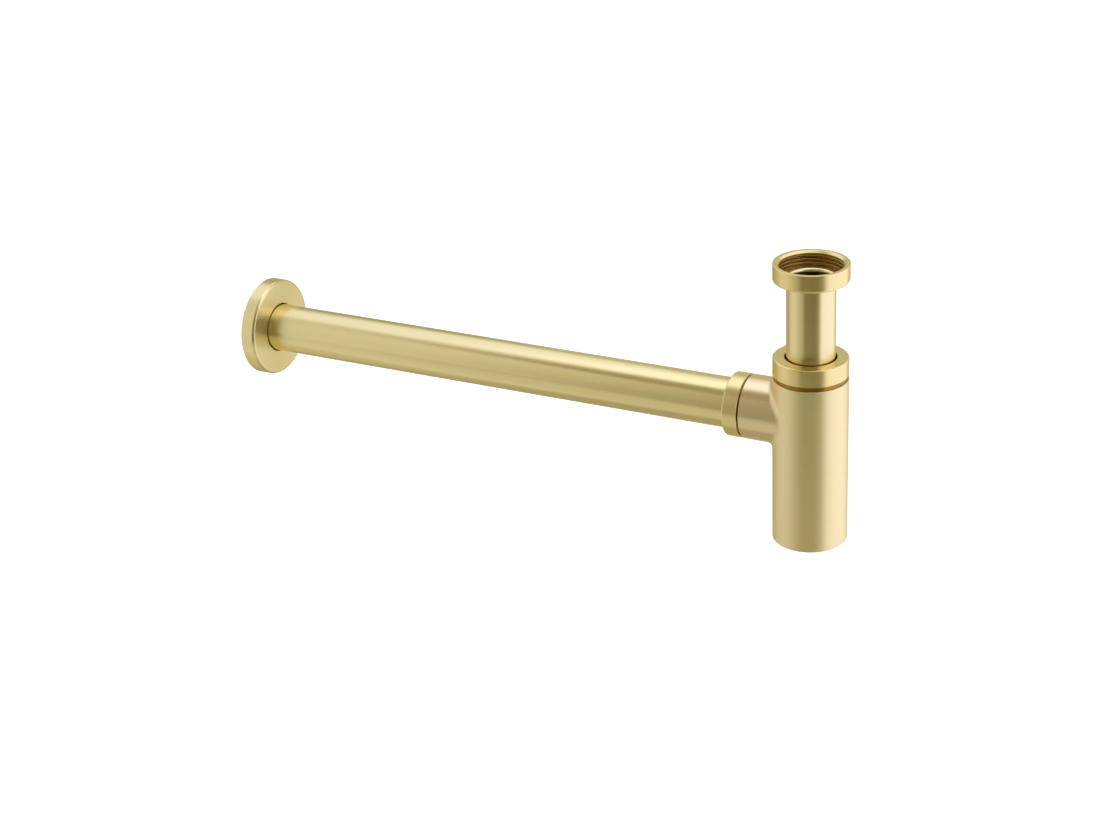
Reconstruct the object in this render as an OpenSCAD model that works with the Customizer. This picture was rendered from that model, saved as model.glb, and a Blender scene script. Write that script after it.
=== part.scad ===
// Cylindrical basin trap: a union nut for the basin waste, a dip tube that reaches into a
// turned bottle body, and a horizontal outlet tube with a round wall flange.
// Origin: centre of the sealing face, on top of the dip tube's collar.
// +Z runs up the axis of the bottle, and the outlet runs along -X to the wall.

/* [Setting out] */
// Depth of the outlet axis under the sealing face
outlet_drop = 91.2; // [88:0.1:105]
// Distance from the axis of the bottle to the wall
wall_distance = 399; // [250:1:450]
// Depth of the bottom of the bottle under the outlet axis
bottle_depth = 82.6; // [81:0.1:110]
// Height of the open end of the dip tube above the floor of the bottle
dip_gap = 9.8; // [8.4:0.1:25]

/* [Tubes] */
// Outside diameter of the dip tube
inlet_d = 30; // [28:0.1:30.5]
// Outside diameter of the outlet tube
outlet_d = 32; // [30:0.1:32.2]
// Wall of both tubes
tube_wall = 1.1; // [0.8:0.1:1.5]
// Diameter of the flared collar on the dip tube
collar_d = 37.6; // [35:0.1:38.2]
// Thickness of the flared collar
collar_t = 0.9; // [0.7:0.1:1.5]
// Rounding of the mouth of the dip tube, where its wall is rolled out into the collar
mouth_round = 2; // [1.2:0.1:2.2]
// Fillet under the collar
collar_fillet = 0.5; // [0.3:0.1:0.6]
// Length of the outlet tube past the bottle's stop shoulder that stays free for pushing in
outlet_push_room = 6; // [3:0.5:7]
// Length of the outlet tube behind the wall face
wall_stub = 6; // [2:0.5:40]

/* [Union nut] */
// Wall of the union nut outside the root of its thread
union_wall = 2.25; // [1.8:0.05:4]
// Height of the union nut above the sealing face
union_rise = 9.2; // [7:0.1:14]
// Floor of the union nut, under the collar
union_floor = 1; // [0.8:0.1:2.5]
// Crest diameter of the thread in the union nut, inch and a quarter pipe thread
union_thread_d = 38.95; // [38.6:0.05:39.2]
// Root diameter of the same thread
union_root_d = 41.91; // [41.6:0.05:42.2]
// Lead-in chamfer at the mouth of the thread
union_chamfer = 0.65; // [0.3:0.05:1.4]
// Rounding of the lower edge of the union nut
union_round = 1.5; // [0.5:0.1:1.6]

/* [Compression nuts] */
// Outside diameter of the nut on the bottle's neck
neck_nut_d = 46.4; // [44:0.1:48]
// Height of the nut on the bottle's neck
neck_nut_h = 11.1; // [10:0.1:16]
// Outside diameter of the nut on the branch
branch_nut_d = 40.6; // [39.8:0.1:44]
// Length of the nut on the branch
branch_nut_h = 9.8; // [8.5:0.1:14]
// End wall of the nut on the neck
neck_nut_floor = 1.6; // [1:0.1:2.5]
// End wall of the nut on the branch
branch_nut_floor = 1.4; // [1:0.1:2.2]
// Rounding of the outer edge of both nuts
nut_round = 0.9; // [0.3:0.1:0.9]
// Gap round the tube in the end wall of both nuts
nut_hole_gap = 0.9; // [0.5:0.1:1.2]
// Thickness of both slip rings
ring_t = 1.3; // [0.8:0.1:1.8]
// Height of the head of both cone seals, proud of the neck that holds them
seal_head = 0.5; // [0.3:0.1:1]
// Depth of the countersink that both cone seals sit in
seal_seat_depth = 4.2; // [3:0.1:5]
// Straight part at the mouth of that countersink
seal_seat_land = 0.8; // [0.4:0.1:1.2]
// Thickness of the cone seal round the dip tube, at its head
neck_seal_t = 3.2; // [2.4:0.1:3.6]
// Thickness of the cone seal round the outlet tube, at its head
branch_seal_t = 1.9; // [1.5:0.1:2.1]

/* [Bottle] */
// Outside diameter of the bottle
bottle_d = 46.6; // [46:0.1:50]
// Wall of the bottle
bottle_wall = 2.2; // [1.5:0.1:2.6]
// Height of the bottle's shoulder above the outlet axis
shoulder_rise = 26.1; // [25.5:0.1:34]
// Height of the turned recess between the shoulder and the nut
recess_h = 2.8; // [1.5:0.1:4]
// Diameter of the bottle in that recess
recess_d = 45; // [42:0.1:45.6]
// Thread diameter of the neck on the bottle
neck_d = 40; // [38.6:0.1:41]
// Outside diameter of the branch
branch_d = 40.6; // [39.8:0.1:42]
// Distance from the axis of the bottle to the end face of the branch
branch_reach = 40; // [36:0.1:60]
// Width of the dark gap between the branch and its nut
branch_gap = 1.1; // [0.6:0.1:2]
// Thread diameter of the neck on the branch
branch_neck_d = 37.2; // [36.8:0.1:37.6]
// Radius of the blend between the branch and the bottle
blend_r = 3; // [2:0.1:3.2]
// Rounding of the lower edge of the bottle
bottle_round = 0.8; // [0.5:0.1:2]
// Distance from the axis of the bottle to the stop shoulder for the outlet tube
stop_reach = 22.5; // [22:0.1:24]
// Bevel on the visible edges of the branch
edge_bevel = 0.4; // [0.2:0.1:0.6]

/* [Cleaning plug] */
// Thickness of the bottle's floor, which the plug screws into
floor_t = 8; // [7:0.1:8.5]
// Thread diameter of the plug
plug_d = 35; // [30:0.1:35.6]
// Diameter of the head of the plug
plug_head_d = 41; // [40:0.1:42]
// Thickness of the head of the plug
plug_head_t = 1.8; // [1.6:0.1:2.4]
// Wall of the hollow plug
plug_wall = 2.6; // [2:0.1:4]
// Length of the slot for a coin across the head
slot_length = 26; // [16:0.5:30]
// Width of that slot
slot_w = 3; // [2:0.1:4]
// Depth of that slot
slot_depth = 1; // [0.6:0.1:1.2]

/* [Wall flange] */
// Outside diameter of the flange
flange_d = 65.4; // [60:0.1:75]
// Thickness of the flange, off the wall
flange_t = 10.2; // [8:0.1:14]
// Rounding of the front edge of the flange
flange_round = 2.1; // [1:0.1:2.4]
// Wall of the hollow flange
flange_wall = 2.4; // [2.4:0.1:3]
// Gap between the flange and the outlet tube
flange_gap = 0.6; // [0.4:0.1:1]
// Wall of the hub inside the flange
hub_wall = 3.6; // [3:0.1:5]
// Setback of the hub from the wall face
hub_setback = 0.8; // [0.5:0.1:2]

/* [Rings and clearances] */
// Section diameter of the O-ring in the flange
flange_ring_d = 2.4; // [2:0.1:2.6]
// Section diameter of the O-ring on the plug
plug_ring_d = 1.8; // [1.5:0.1:2]
// Clearance of both tubes in the parts that guide them
tube_clearance = 0.3; // [0.2:0.05:0.4]
// Clearance of seals and O-rings on the tubes that slide in them
seal_clearance = 0.05; // [0.02:0.01:0.1]
// Clearance of screw threads, and of seals and rings in their seats
thread_clearance = 0.1; // [0.05:0.01:0.1]

/* [Hidden] */
$fn = 96;

// Small overlap for cuts, and small lead-in bevels on hidden edges
eps = 0.02;
lead_in = 0.5;

// Radii that many pieces share
inlet_r = inlet_d / 2;
outlet_r = outlet_d / 2;
bottle_r = bottle_d / 2;
chamber_r = bottle_r - bottle_wall;
branch_r = branch_d / 2;
neck_r = neck_d / 2;
branch_neck_r = branch_neck_d / 2;
plug_r = plug_d / 2;
plug_head_r = plug_head_d / 2;
flange_r = flange_d / 2;

// Heights along the bottle, from the sealing face
axis_z = -outlet_drop;
bottom_z = axis_z - bottle_depth;
floor_z = bottom_z + floor_t;
dip_z = floor_z + dip_gap;
shoulder_z = axis_z + shoulder_rise;
neck_nut_z = shoulder_z + recess_h;
neck_nut_top_z = neck_nut_z + neck_nut_h;
neck_ring_z = neck_nut_top_z - neck_nut_floor - ring_t;
neck_top_z = neck_ring_z - seal_head;
neck_start_z = neck_nut_z - thread_clearance;
ceiling_z = shoulder_z - bottle_wall;

// Distances along the outlet, from the axis of the bottle
branch_nut_start = branch_reach + branch_gap;
branch_nut_end = branch_nut_start + branch_nut_h;
branch_ring_start = branch_nut_end - branch_nut_floor - ring_t;
branch_neck_end = branch_ring_start - seal_head;
outlet_start = stop_reach + outlet_push_room;
flange_start = wall_distance - flange_t;

// Seats for the cone seals, and the O-ring seats
neck_seat_r = inlet_r + neck_seal_t;
branch_seat_r = outlet_r + branch_seal_t;
flange_hole_r = outlet_r + flange_gap;
flange_seat_r = outlet_r + seal_clearance + flange_ring_d + thread_clearance;
flange_seat_at = wall_distance - flange_t / 2;
plug_head_z = bottom_z + plug_head_t;
plug_ring_r = plug_r + plug_ring_d / 2 + seal_clearance;

// Facets of the blend, round the branch and across the hollow, how far the ball bites into the
// walls so that its facets cross them cleanly, and how far the rest of the blend lies in them
blend_steps = 72;
blend_turn = 360 / blend_steps;
blend_rows = 7;
blend_bite = 0.06;
blend_sink = 0.6;

// Colours of the finishes
satin_brass = [0.80, 0.70, 0.44];
cast_brass = [0.79, 0.69, 0.50];
black_plastic = [0.07, 0.07, 0.07];
black_rubber = [0.12, 0.12, 0.12];

// Lays a piece that was turned about +Z along the outlet, from the bottle to the wall
module along_outlet() {
    translate([0, 0, axis_z]) rotate([0, -90, 0]) children();
}

// Ring section from radius r0 to r1 and from height z0 to z1
module band(r0, r1, z0, z1) {
    translate([r0, z0]) square([r1 - r0, z1 - z0]);
}

// What a rounding of radius r takes off the corner at (x, y), whose outside lies towards (sx, sy)
module round_off(x, y, r, sx, sy) {
    difference() {
        translate([min(x + sx * eps, x - sx * r), min(y + sy * eps, y - sy * r)]) square(r + eps);
        translate([x - sx * r, y - sy * r]) circle(r);
    }
}

// Fillet of radius r in the corner at (x, y), which opens outwards and down
module fillet(x, y, r) {
    difference() {
        translate([x - eps, y - r]) square(r + eps);
        translate([x + r, y - r]) circle(r);
    }
}

// What a 45 degree bevel of size c takes off the corner at (x, y)
module bevel_off(x, y, c, sx, sy) {
    polygon([[x + sx * eps, y - sy * c], [x - sx * c, y + sy * eps], [x + sx * eps, y + sy * eps]]);
}

// Union nut: female pipe thread above, a relief round the collar, and a floor that draws the
// collar up to the waste
module union_nut() {
    crest_r = union_thread_d / 2;
    root_r = union_root_d / 2;
    union_r = root_r + union_wall;
    hole_r = inlet_r + tube_clearance;
    low_z = -collar_t - union_floor;
    color(satin_brass) rotate_extrude() difference() {
        band(hole_r, union_r, low_z, union_rise);
        band(0, crest_r, -eps, union_rise + eps);
        band(0, root_r, -collar_t, 0);
        bevel_off(crest_r, union_rise, union_chamfer, -1, 1);
        round_off(union_r, low_z, union_round, 1, -1);
        bevel_off(union_r, union_rise, lead_in / 2, 1, 1);
        bevel_off(hole_r, -collar_t, collar_fillet, -1, 1);
        bevel_off(hole_r, low_z, lead_in / 2, -1, -1);
    }
}

// Dip tube with its flared collar, which hangs in the union nut
module inlet_tube() {
    bore_r = inlet_r - tube_wall;
    color(satin_brass) rotate_extrude() difference() {
        union() {
            band(bore_r, inlet_r, dip_z, 0);
            band(bore_r, collar_d / 2, -collar_t, 0);
            fillet(inlet_r, -collar_t, collar_fillet);
        }
        round_off(bore_r, 0, mouth_round, -1, 1);
        bevel_off(collar_d / 2, 0, lead_in / 2, 1, 1);
        bevel_off(inlet_r, dip_z, lead_in, 1, -1);
    }
}

// Compression nut turned about +Z: open from z0, with its end wall under z1
module gland_nut(outer_r, thread_r, hole_r, z0, z1, wall) {
    rotate_extrude() difference() {
        band(hole_r, outer_r, z0, z1);
        band(0, thread_r + thread_clearance, z0 - eps, z1 - wall);
        round_off(outer_r, z1, nut_round, 1, 1);
        bevel_off(outer_r, z0, lead_in / 2, 1, -1);
        bevel_off(hole_r, z1, lead_in / 2, -1, 1);
        bevel_off(thread_r + thread_clearance, z0, lead_in, -1, -1);
    }
}

// Slip ring that keeps the turning nut from twisting the seal
module slip_ring(tube_r, thread_r, z0) {
    rotate_extrude() difference() {
        band(tube_r + tube_clearance, thread_r - tube_clearance, z0, z0 + ring_t);
        bevel_off(thread_r - tube_clearance, z0 + ring_t, lead_in / 2, 1, 1);
        bevel_off(tube_r + tube_clearance, z0, lead_in / 2, -1, -1);
    }
}

// Outline of the countersink that a cone seal sits in, with its mouth at height z
module seal_seat(tube_r, seat_r, z) {
    bore_r = tube_r + tube_clearance;
    polygon([[0, z + eps], [seat_r, z + eps], [seat_r, z - seal_seat_land],
             [bore_r, z - seal_seat_depth], [0, z - seal_seat_depth]]);
}

// Cone seal round a tube: its head meets the slip ring, and its blunt tip lies in the seat
module cone_seal(tube_r, seat_r, z) {
    bore_r = tube_r + tube_clearance;
    hole_r = tube_r + seal_clearance;
    head_r = seat_r - thread_clearance;
    slope = (seat_r - bore_r) / (seal_seat_depth - seal_seat_land);
    tip_r = bore_r + slope * lead_in - thread_clearance;
    tip_z = z - seal_seat_depth + lead_in;
    rotate_extrude()
        polygon([[hole_r, z + seal_head], [head_r, z + seal_head], [head_r, z - seal_seat_land],
                 [tip_r, tip_z], [hole_r, tip_z]]);
}

module neck_nut() {
    color(satin_brass)
        gland_nut(neck_nut_d / 2, neck_r, inlet_r + nut_hole_gap, neck_nut_z, neck_nut_top_z,
                  neck_nut_floor);
}

module neck_slip_ring() {
    color(black_plastic) slip_ring(inlet_r, neck_r, neck_ring_z);
}

module neck_cone_seal() {
    color(black_rubber) cone_seal(inlet_r, neck_seat_r, neck_top_z);
}

module branch_nut() {
    color(satin_brass) along_outlet()
        gland_nut(branch_nut_d / 2, branch_neck_r, outlet_r + nut_hole_gap, branch_nut_start,
                  branch_nut_end, branch_nut_floor);
}

module branch_slip_ring() {
    color(black_plastic) along_outlet() slip_ring(outlet_r, branch_neck_r, branch_ring_start);
}

module branch_cone_seal() {
    color(black_rubber) along_outlet() cone_seal(outlet_r, branch_seat_r, branch_neck_end);
}

// Outer form of the bottle: body, turned recess and threaded neck
module bottle_outside() {
    rotate_extrude() difference() {
        union() {
            band(0, bottle_r, bottom_z, shoulder_z);
            band(0, recess_d / 2, shoulder_z - eps, neck_start_z);
            band(0, neck_r, neck_start_z - eps, neck_top_z);
        }
        round_off(bottle_r, bottom_z, bottle_round, 1, -1);
        bevel_off(bottle_r, shoulder_z, lead_in / 2, 1, 1);
        bevel_off(neck_r, neck_top_z, lead_in, 1, 1);
    }
}

// Hollow of the bottle: chamber, coned ceiling, tube guide, seal seat and plug opening
module bottle_hollow() {
    guide_r = inlet_r + tube_clearance;
    rotate_extrude() {
        band(0, chamber_r, floor_z, ceiling_z - (chamber_r - guide_r) / 2);
        polygon([[0, ceiling_z - chamber_r], [chamber_r, ceiling_z - (chamber_r - guide_r) / 2 - eps],
                 [guide_r, ceiling_z], [0, ceiling_z]]);
        band(0, guide_r, ceiling_z - eps, neck_top_z);
        seal_seat(inlet_r, neck_seat_r, neck_top_z);
        band(0, plug_r + thread_clearance, plug_head_z - eps, floor_z + eps);
        band(0, plug_head_r + thread_clearance, bottom_z - eps, plug_head_z);
        band(0, plug_r + plug_ring_d + thread_clearance, plug_head_z - eps,
             plug_head_z + plug_ring_d + thread_clearance);
    }
}

// Outer form of the branch with its threaded neck, turned about +Z from the bottle's axis
module branch_outside() {
    rotate_extrude() difference() {
        union() {
            band(0, branch_r, stop_reach / 2, branch_reach);
            band(0, branch_neck_r, branch_reach - eps, branch_neck_end);
        }
        bevel_off(branch_r, branch_reach, edge_bevel, 1, 1);
        bevel_off(branch_neck_r, branch_neck_end, lead_in / 2, 1, 1);
    }
}

// Hollow of the branch: the port into the bottle, the socket for the tube and the seal seat
module branch_hollow() {
    rotate_extrude() {
        band(0, outlet_r - tube_wall, stop_reach / 2, stop_reach + eps);
        band(0, outlet_r + tube_clearance, stop_reach, branch_neck_end);
        seal_seat(outlet_r, branch_seat_r, branch_neck_end);
    }
}

// Centre of a ball that rolls in the corner between the bottle and the branch, at angle a
function ball_centre(a) =
    let (lift = blend_r - blend_bite, y = (branch_r + lift) * cos(a), z = (branch_r + lift) * sin(a))
    [-sqrt(pow(bottle_r + lift, 2) - y * y), y, z];

// Points straight under the ball's centre, at depth sink in the bottle and in the branch
function in_bottle(c, sink) =
    let (k = (bottle_r - sink) / norm([c[0], c[1]])) [c[0] * k, c[1] * k, c[2]];
function in_branch(c, sink) =
    let (k = (branch_r - sink) / norm([c[1], c[2]])) [c[0], c[1] * k, c[2] * k];

// Point under the corner itself, inside both walls
function under_corner(a, sink) =
    let (y = (branch_r - sink) * cos(a), z = (branch_r - sink) * sin(a))
    [-sqrt(pow(bottle_r - sink, 2) - y * y), y, z];

// Point at share t of the way along the ball's arc from direction u to direction v
function on_arc(c, u, v, t) =
    let (angle = acos((u * v) / (norm(u) * norm(v))))
    c + (sin((1 - t) * angle) * u + sin(t * angle) * v) / sin(angle);

// One section of the blend: the hollow arc, then three points inside the walls
function blend_section(a) =
    let (c = ball_centre(a), u = in_bottle(c, blend_bite) - c, v = in_branch(c, blend_bite) - c)
    concat([for (i = [0:blend_rows]) on_arc(c, u, v, i / blend_rows)],
           [in_branch(c, blend_sink), under_corner(a, blend_sink), in_bottle(c, blend_sink)]);

// Hollow blend that the ball sweeps round the root of the branch
module branch_blend() {
    row = blend_rows + 4;
    points = [for (j = [0:blend_steps - 1]) each blend_section(j * blend_turn)];
    faces = [for (j = [0:blend_steps - 1], i = [0:row - 1])
        let (a = j * row + i, b = j * row + (i + 1) % row, k = ((j + 1) % blend_steps) * row,
             c = k + (i + 1) % row, d = k + i)
        each [[a, b, c], [a, c, d]]];
    translate([0, 0, axis_z]) polyhedron(points, faces);
}

// Bottle of the trap: body, branch and the blend between them, in one piece
module bottle() {
    color(cast_brass) difference() {
        union() {
            bottle_outside();
            along_outlet() branch_outside();
            branch_blend();
        }
        bottle_hollow();
        along_outlet() branch_hollow();
    }
}

// Outlet tube, from the branch to just behind the wall face
module outlet_tube() {
    color(satin_brass) along_outlet() rotate_extrude() difference() {
        band(outlet_r - tube_wall, outlet_r, outlet_start, wall_distance + wall_stub);
        bevel_off(outlet_r, outlet_start, lead_in, 1, -1);
        bevel_off(outlet_r, wall_distance + wall_stub, lead_in, 1, 1);
    }
}

// Hollow round flange that covers the hole in the wall, with a hub for its O-ring
module wall_flange() {
    hub_r = flange_hole_r + hub_wall;
    color(satin_brass) along_outlet() rotate_extrude() difference() {
        band(flange_hole_r, flange_r, flange_start, wall_distance);
        band(hub_r, flange_r - flange_wall, flange_start + flange_wall, wall_distance + eps);
        band(0, hub_r + eps, wall_distance - hub_setback, wall_distance + eps);
        band(0, flange_seat_r, flange_seat_at - flange_ring_d / 2 - thread_clearance,
             flange_seat_at + flange_ring_d / 2 + thread_clearance);
        round_off(flange_r, flange_start, flange_round, 1, -1);
        bevel_off(flange_hole_r, flange_start, lead_in / 2, -1, -1);
    }
}

// O-ring that grips the tube inside the flange
module flange_o_ring() {
    color(black_rubber) along_outlet() translate([0, 0, flange_seat_at]) rotate_extrude()
        translate([outlet_r + seal_clearance + flange_ring_d / 2, 0]) circle(flange_ring_d / 2);
}

// Plug in the floor of the bottle, with a slot for a coin
module cleaning_plug() {
    color(satin_brass) difference() {
        rotate_extrude() difference() {
            union() {
                band(0, plug_head_r, bottom_z, plug_head_z);
                band(0, plug_r, plug_head_z - eps, floor_z - tube_clearance);
            }
            band(0, plug_r - plug_wall, plug_head_z + plug_wall / 2, floor_z + eps);
            bevel_off(plug_head_r, bottom_z, lead_in / 2, 1, -1);
            bevel_off(plug_r, floor_z - tube_clearance, lead_in, 1, 1);
        }
        translate([-slot_length / 2, -slot_w / 2, bottom_z - eps])
            cube([slot_length, slot_w, slot_depth + eps]);
    }
}

// O-ring under the head of the plug
module plug_o_ring() {
    color(black_rubber) translate([0, 0, plug_head_z + plug_ring_d / 2]) rotate_extrude()
        translate([plug_ring_r, 0]) circle(plug_ring_d / 2);
}

union_nut();
inlet_tube();
neck_nut();
neck_slip_ring();
neck_cone_seal();
bottle();
branch_nut();
branch_slip_ring();
branch_cone_seal();
outlet_tube();
wall_flange();
flange_o_ring();
cleaning_plug();
plug_o_ring();
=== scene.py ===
"""Basin trap in satin brass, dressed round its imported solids.

The turned pieces keep their solids and take a brushed brass finish from shared shader groups.
The union nut is modelled again with its real screw thread, and a smooth blend covers the facets
at the root of the branch. Everything is in metres, in the frame of the solids.
"""

import math

import bmesh
import bpy
from bpy.props import FloatProperty, FloatVectorProperty, IntProperty, PointerProperty
from bpy.types import Operator, Panel, PropertyGroup
from mathutils import Matrix, Vector


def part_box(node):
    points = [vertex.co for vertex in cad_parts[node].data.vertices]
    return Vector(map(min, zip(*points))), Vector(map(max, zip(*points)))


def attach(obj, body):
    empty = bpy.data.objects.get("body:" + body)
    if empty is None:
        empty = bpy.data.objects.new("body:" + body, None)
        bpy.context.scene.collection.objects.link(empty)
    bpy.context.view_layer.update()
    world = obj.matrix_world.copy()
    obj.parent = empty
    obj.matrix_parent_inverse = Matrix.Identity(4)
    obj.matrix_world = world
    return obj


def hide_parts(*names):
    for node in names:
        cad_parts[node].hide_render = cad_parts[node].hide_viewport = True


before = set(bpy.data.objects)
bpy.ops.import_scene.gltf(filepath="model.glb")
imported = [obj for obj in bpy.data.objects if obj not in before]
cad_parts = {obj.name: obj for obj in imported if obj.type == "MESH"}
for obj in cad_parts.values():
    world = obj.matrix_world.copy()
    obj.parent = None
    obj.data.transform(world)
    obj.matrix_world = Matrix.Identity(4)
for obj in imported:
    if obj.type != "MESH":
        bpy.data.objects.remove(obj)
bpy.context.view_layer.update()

bl_info = {
    "name": "Satin Brass Basin Trap",
    "version": (1, 0, 0),
    "blender": (4, 5, 0),
    "location": "View3D > Sidebar > Basin Trap",
    "description": "Dresses the solids of a basin trap with a brass finish, a thread and a stage",
    "category": "Object",
}

# Height of the outlet's axis, from the box of the outlet tube
OUTLET_LOW, OUTLET_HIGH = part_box("outlet_tube")
OUTLET_Z = (OUTLET_LOW.z + OUTLET_HIGH.z) / 2

# Radii of the bottle and of the branch, which its nut is flush with
BODY_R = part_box("bottle")[1].y
BRANCH_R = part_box("branch_nut")[1].y

# Pitch of the fine threads under the nuts and on the plug, and their radii
FINE_PITCH = 0.0015
PLUG_THREAD_R, NECK_THREAD_R, BRANCH_THREAD_R = 0.0175, 0.020, 0.0186

# Turned recess under the neck nut and gap beside the branch nut, painted darker as shade: length
# and outer radius
RECESS_LENGTH, RECESS_R = 0.0028, 0.0229
GAP_LENGTH, GAP_R = 0.0011, 0.0192

# Radii inside which the dip tube, the neck nut and the branch nut are painted dark as shade,
# and the height in the dip tube over which its collar is satin again
DIP_SHADE_R, NECK_NUT_SHADE_R, BRANCH_NUT_SHADE_R = 0.01395, 0.0159, 0.0168
DIP_SHADE_Z = -0.0022

# Radius of the hole in the floor of the union nut
UNION_HOLE_R = 0.0153

# Facets of a full turn, the angle in radians over which an edge stays sharp, and the distance
# at which two corners are welded
TURN_STEPS = 144
SHARP_ANGLE = 0.6
WELD = 1e-7

# Lifts in degrees of a panel of the light tent that has no lower and no upper edge
ALL_LIFTS = (-120, 120)


# Sizes and colours that a user may change


class TrapFinish(PropertyGroup):
    """Colours and surface of the metal, rubber and plastic"""

    satin_colour: FloatVectorProperty(
        name="Satin brass", description="Colour of the dip tube and the plug",
        subtype="COLOR", size=3, min=0, max=1, default=(0.84, 0.73, 0.38),
    )
    drawn_colour: FloatVectorProperty(
        name="Drawn brass", description="Colour of the outlet tube and the flange",
        subtype="COLOR", size=3, min=0, max=1, default=(0.825, 0.72, 0.352),
    )
    cast_colour: FloatVectorProperty(
        name="Cast brass", description="Colour of the body of the bottle",
        subtype="COLOR", size=3, min=0, max=1, default=(0.88, 0.775, 0.435),
    )
    branch_colour: FloatVectorProperty(
        name="Branch brass", description="Colour of the branch, a little pinker than the body",
        subtype="COLOR", size=3, min=0, max=1, default=(0.83, 0.69, 0.41),
    )
    nut_colour: FloatVectorProperty(
        name="Nut brass", description="Colour of the nuts, a little deeper than the tubes",
        subtype="COLOR", size=3, min=0, max=1, default=(0.84, 0.71, 0.32),
    )
    # Brown of the cut thread, darkened further as painted shade inside the union nut
    thread_tone_and_shade: FloatVectorProperty(
        name="Cut thread", description="Colour of the bare thread in the union nut",
        subtype="COLOR", size=3, min=0, max=1, default=(0.52, 0.34, 0.09),
    )
    # Deep amber of the unbrushed recess, darkened further as painted shade in the grooves beside
    # the nuts
    recess_amber_and_shade: FloatVectorProperty(
        name="Recess", description="Deep amber of the grooves beside the nuts",
        subtype="COLOR", size=3, min=0, max=1, default=(0.37, 0.21, 0.03),
    )
    # Painted shade: dark brown laid inside the bores of the dip tube and of the nuts
    bore_shade_colour: FloatVectorProperty(
        name="Bore", description="Colour of the bare inside of the dip tube",
        subtype="COLOR", size=3, min=0, max=1, default=(0.16, 0.07, 0.015),
    )
    rubber_colour: FloatVectorProperty(
        name="Rubber", description="Colour of the seals and rings of rubber",
        subtype="COLOR", size=3, min=0, max=1, default=(0.016, 0.016, 0.017),
    )
    # The slip rings are black as painted shade for the gaps at the nuts where they show
    slip_ring_shade_colour: FloatVectorProperty(
        name="Plastic", description="Colour of the slip rings",
        subtype="COLOR", size=3, min=0, max=1, default=(0.020, 0.020, 0.021),
    )
    roughness: FloatProperty(
        name="Roughness", description="Mean roughness of the satin brass",
        subtype="FACTOR", min=0.05, max=0.8, default=0.30,
    )
    grain_depth: FloatProperty(
        name="Grain depth", description="Strength of the turned grain",
        subtype="FACTOR", min=0, max=1, default=0.05,
    )
    grain_stretch: FloatProperty(
        name="Grain stretch", description="How far the grain draws out the reflections",
        subtype="FACTOR", min=0, max=1, default=0.55,
    )
    edge_tint: FloatVectorProperty(
        name="Edge tint", description="Tint of the brass where it is seen at a flat angle",
        subtype="COLOR", size=3, min=0, max=1, default=(1.0, 0.93, 0.72),
    )
    grain_width: FloatProperty(
        name="Grain width", description="Width of one mark of the grain",
        subtype="DISTANCE", unit="LENGTH", min=0.00005, max=0.002, default=0.00035,
    )
    thread_depth: FloatProperty(
        name="Thread shading", description="Depth of the shaded screw threads under the nuts",
        subtype="DISTANCE", unit="LENGTH", min=0, max=0.002, default=0.0006,
    )


class TrapThread(PropertyGroup):
    """Union nut and its inch and a quarter pipe thread"""

    pitch: FloatProperty(
        name="Pitch", description="Pitch of the pipe thread, eleven to the inch",
        subtype="DISTANCE", unit="LENGTH", min=0.001, max=0.004, default=0.0254 / 11,
    )
    crest: FloatProperty(
        name="Crest radius", description="Radius at the crests of the inside thread",
        subtype="DISTANCE", unit="LENGTH", min=0.018, max=0.020, default=0.019475,
    )
    root: FloatProperty(
        name="Root radius", description="Radius at the roots of the inside thread",
        subtype="DISTANCE", unit="LENGTH", min=0.020, max=0.022, default=0.020955,
    )
    chamfer: FloatProperty(
        name="Chamfer", description="Width of the lead-in chamfer at the mouth",
        subtype="DISTANCE", unit="LENGTH", min=0.0003, max=0.0014, default=0.0013,
    )
    floor: FloatProperty(
        name="Floor", description="Thickness of the nut's floor under the collar",
        subtype="DISTANCE", unit="LENGTH", min=0.0008, max=0.002, default=0.001,
    )
    rounding: FloatProperty(
        name="Lower rounding", description="Rounding of the nut's lower edge",
        subtype="DISTANCE", unit="LENGTH", min=0.0005, max=0.002, default=0.0015,
    )


class TrapBlend(PropertyGroup):
    """Hollow blend at the root of the branch"""

    radius: FloatProperty(
        name="Radius", description="Radius of the ball that shapes the blend",
        subtype="DISTANCE", unit="LENGTH", min=0.002, max=0.004, default=0.003,
    )
    steps: IntProperty(
        name="Steps", description="Sections of the blend round the branch",
        min=48, max=480, default=240,
    )
    rows: IntProperty(
        name="Rows", description="Facets of the blend across its hollow",
        min=6, max=48, default=24,
    )


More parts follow.
